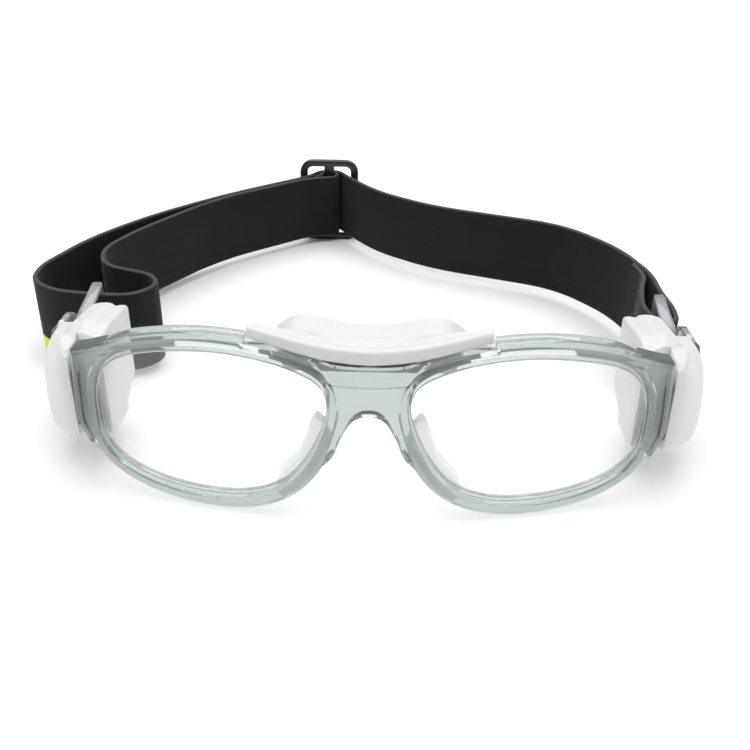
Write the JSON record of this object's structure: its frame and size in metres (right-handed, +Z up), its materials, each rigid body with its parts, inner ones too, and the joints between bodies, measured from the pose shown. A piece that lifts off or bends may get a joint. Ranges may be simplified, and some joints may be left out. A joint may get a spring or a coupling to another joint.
{
  "type": "sports protective goggles",
  "caption": "Strap-on sports goggles: curved clear front with two lenses, silicone brow, nose and temple pads, swivelling strap loops and an elastic head strap with a slider.",
  "frame": {"origin": "where the symmetry plane of the front frame meets the table, below the foremost point of the bridge", "axes": "+X to the wearer's left, +Y back from the face, +Z up from the table"},
  "size_m": [0.1918, 0.1945, 0.0511],
  "materials": {
    "tinted_frame": "gloss",
    "clear_lens": "gloss",
    "silicone": "satin",
    "tinted_buckle": "gloss",
    "washer_nylon": "matte",
    "screw_steel": "brushed",
    "elastic_webbing": "matte",
    "slider_plastic": "satin",
    "yellow_label": "matte",
    "thread": "matte"
  },
  "bodies": {
    "frame": {"front_frame": "tinted_frame", "lens_left": "clear_lens", "lens_right": "clear_lens", "brow_pad": "silicone", "nose_pad_left": "silicone", "nose_pad_right": "silicone", "temple_pad_left": "silicone", "temple_pad_right": "silicone", "pivot_washer_left": "washer_nylon", "pivot_washer_right": "washer_nylon", "pivot_screw_left": "screw_steel", "pivot_screw_right": "screw_steel", "pivot_nut_left": "screw_steel", "pivot_nut_right": "screw_steel", "head_strap": "elastic_webbing", "woven_label": "yellow_label", "left_end_stitches": "thread", "slider_end_stitches": "thread"},
    "buckle_left": {"strap_buckle_left": "tinted_buckle"},
    "buckle_right": {"strap_buckle_right": "tinted_buckle"},
    "slider": {"strap_slider": "slider_plastic"}
  },
  "joints": [
    {"name": "buckle_left_swivel", "type": "hinge", "parent": "frame", "child": "buckle_left", "pos_m": [0.0796, 0.0425, 0.019], "axis": [1, 0, 0], "range_deg": [-25, 25], "deforming": ["head_strap", "left_end_stitches"]},
    {"name": "buckle_right_swivel", "type": "hinge", "parent": "frame", "child": "buckle_right", "pos_m": [-0.0796, 0.0425, 0.019], "axis": [1, 0, 0], "range_deg": [-25, 25], "deforming": ["head_strap", "woven_label"]},
    {"name": "slider_slide", "type": "slide", "parent": "frame", "child": "slider", "axis": [-0.7572, -0.6532, 0], "range_m": [-0.01, 0.01], "deforming": ["head_strap", "slider_end_stitches"]}
  ]
}
